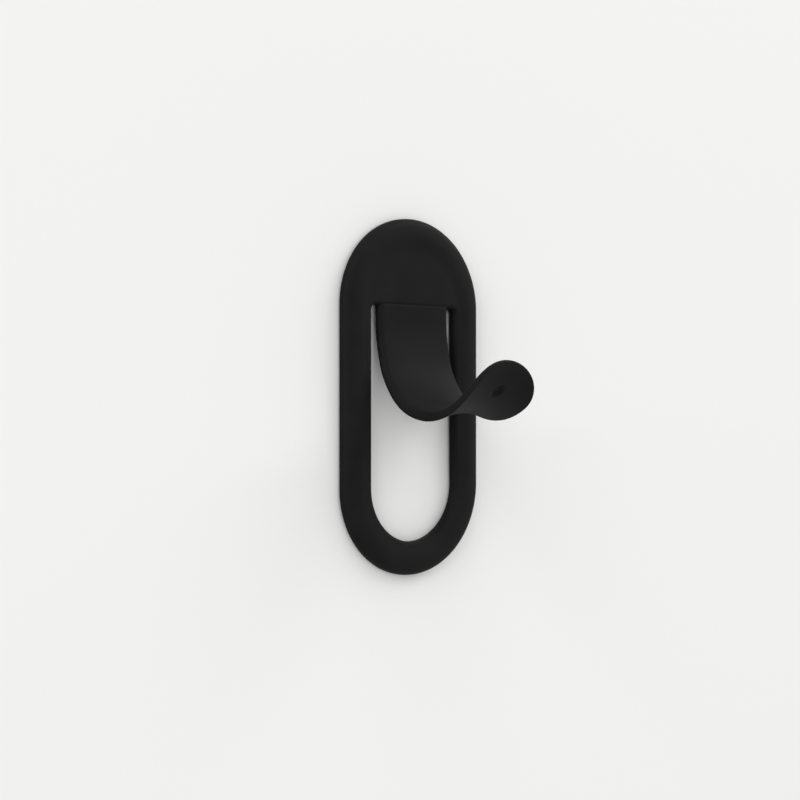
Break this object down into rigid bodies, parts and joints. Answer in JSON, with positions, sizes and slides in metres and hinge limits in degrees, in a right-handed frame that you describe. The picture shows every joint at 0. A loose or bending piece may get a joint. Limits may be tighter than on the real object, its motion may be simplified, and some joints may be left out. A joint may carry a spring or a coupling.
{
  "type": "clip phone holder",
  "caption": "Flat oval stick-on phone holder of soft moulded silicone, with a D-shaped slot and a bendable tongue that is bent out of the slot into a hook with a round tip.",
  "frame": {"origin": "on the adhesive face, under the middle of the oval ring", "axes": "+Y along the ring towards the closed bridge, +Z away from the surface that the holder is stuck on"},
  "size_m": [0.041, 0.082, 0.0332],
  "materials": {
    "silicone": "matte moulded silicone with a soft sheen",
    "soft_metal": "plain rolled strip",
    "foam_tape": "matte closed-cell foam tape"
  },
  "bodies": {
    "base": {"frame": "silicone", "adhesive_pad": "foam_tape"},
    "clip": {"tongue": "silicone", "core_strip": "soft_metal"}
  },
  "joints": [
    {"name": "tongue_bend", "type": "hinge", "parent": "base", "child": "clip", "pos_m": [0, 0.0204, 0.0019], "axis": [-1, 0, 0], "range_deg": [-4, 60]}
  ]
}
